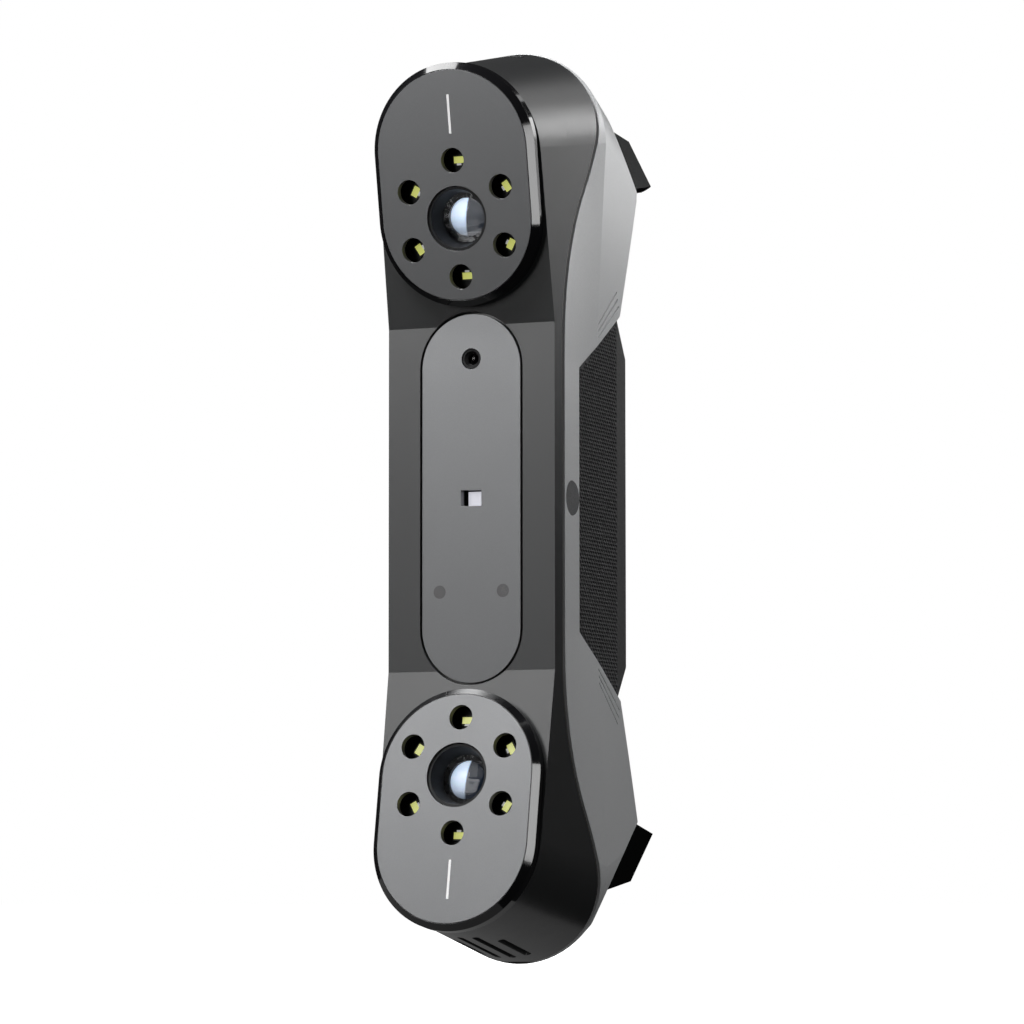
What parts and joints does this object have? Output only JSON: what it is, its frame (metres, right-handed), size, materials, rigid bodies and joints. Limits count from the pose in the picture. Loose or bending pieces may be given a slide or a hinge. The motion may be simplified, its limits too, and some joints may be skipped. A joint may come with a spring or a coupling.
{
  "type": "handheld 3D scanner",
  "caption": "Handheld structured-light scanner with toed-in camera heads, a front sensor plate, a rear grip, press buttons and a tripod socket.",
  "frame": {"origin": "middle of the scanner's bounding box", "axes": "+Z along its length, -Y the way the cameras look, +Y towards the grip and the rest feet, +X the side with the tripod socket"},
  "size_m": [0.0428, 0.077, 0.203],
  "materials": {
    "shell_black": "satin moulded black polycarbonate",
    "shell_grey": "satin silver-grey paint over moulded plastic",
    "grip_rubber": "fine diamond-textured black elastomer",
    "bezel_gloss": "gloss black with a polished bevel",
    "plate_grey": "satin graphite face plates",
    "mark_white": "white inlay",
    "lens_glass": "coated optical glass",
    "barrel_black": "matt black lens barrel",
    "board_green": "solder-masked circuit board",
    "light_body": "white light package",
    "phosphor": "yellow phosphor",
    "chip_black": "moulded chip package",
    "aluminium": "machined and bead blasted",
    "steel": "zinc-plated screw steel",
    "steel_black": "black oxide screws",
    "brass": "turned brass",
    "soft_rubber": "dark grey silicone plug",
    "foot_rubber": "satin black elastomer",
    "panel_black": "satin black panel",
    "button_grey": "satin dark grey key caps",
    "light_guide": "frosted light guide",
    "ir_window": "infrared-pass window",
    "projector_lens": "bright coated projector lens"
  },
  "bodies": {
    "casing": {"board_screws": "steel", "board_standoffs": "brass", "button_board": "board_green", "button_switches": "chip_black", "camera_screws": "steel", "case_screws": "steel_black", "centre_plate": "plate_grey", "colour_camera_barrel": "barrel_black", "colour_camera_lens": "lens_glass", "control_panel": "panel_black", "frame_pillars": "aluminium", "front_sensor_board": "board_green", "front_shell": "shell_black", "grip_cover": "grip_rubber", "heat_sink": "aluminium", "infrared_emitters": "light_guide", "infrared_windows": "ir_window", "lower_bezel": "bezel_gloss", "lower_camera_barrel": "barrel_black", "lower_camera_holder": "barrel_black", "lower_camera_lens": "lens_glass", "lower_camera_ribbon": "light_guide", "lower_feet": "foot_rubber", "lower_image_sensor": "chip_black", "lower_index_mark": "mark_white", "lower_lens_plate": "plate_grey", "lower_light_board": "board_green", "lower_light_phosphors": "phosphor", "lower_lights": "light_body", "lower_sensor_board": "board_green", "main_board": "board_green", "main_chips": "chip_black", "optical_frame": "aluminium", "panel_screws": "steel", "projector_housing": "barrel_black", "projector_lens": "projector_lens", "rear_shell": "shell_grey", "status_light": "light_guide", "tripod_insert": "brass", "upper_bezel": "bezel_gloss", "upper_camera_barrel": "barrel_black", "upper_camera_holder": "barrel_black", "upper_camera_lens": "lens_glass", "upper_camera_ribbon": "light_guide", "upper_feet": "foot_rubber", "upper_image_sensor": "chip_black", "upper_index_mark": "mark_white", "upper_lens_plate": "plate_grey", "upper_light_board": "board_green", "upper_light_phosphors": "phosphor", "upper_lights": "light_body", "upper_sensor_board": "board_green", "usb_board": "board_green", "usb_socket": "steel"},
    "scan_button": {"scan_button": "button_grey"},
    "plus_button": {"plus_button": "button_grey"},
    "minus_button": {"minus_button": "button_grey"},
    "mode_button": {"mode_button": "button_grey"},
    "tripod_plug": {"tripod_plug": "soft_rubber"}
  },
  "joints": [
    {"name": "scan_button_press", "type": "slide", "parent": "casing", "child": "scan_button", "axis": [0, -1, 0], "range_m": [0, 0.0006], "stiffness_N_per_m": 1500, "springref_m": -0.0006},
    {"name": "plus_button_press", "type": "slide", "parent": "casing", "child": "plus_button", "axis": [0, -1, 0], "range_m": [0, 0.0006], "stiffness_N_per_m": 1500, "springref_m": -0.0006},
    {"name": "minus_button_press", "type": "slide", "parent": "casing", "child": "minus_button", "axis": [0, -1, 0], "range_m": [0, 0.0006], "stiffness_N_per_m": 1500, "springref_m": -0.0006},
    {"name": "mode_button_press", "type": "slide", "parent": "casing", "child": "mode_button", "axis": [0, -1, 0], "range_m": [0, 0.0006], "stiffness_N_per_m": 1500, "springref_m": -0.0006},
    {"name": "plug_pull", "type": "slide", "parent": "casing", "child": "tripod_plug", "axis": [1, 0, 0], "range_m": [0, 0.02]}
  ]
}
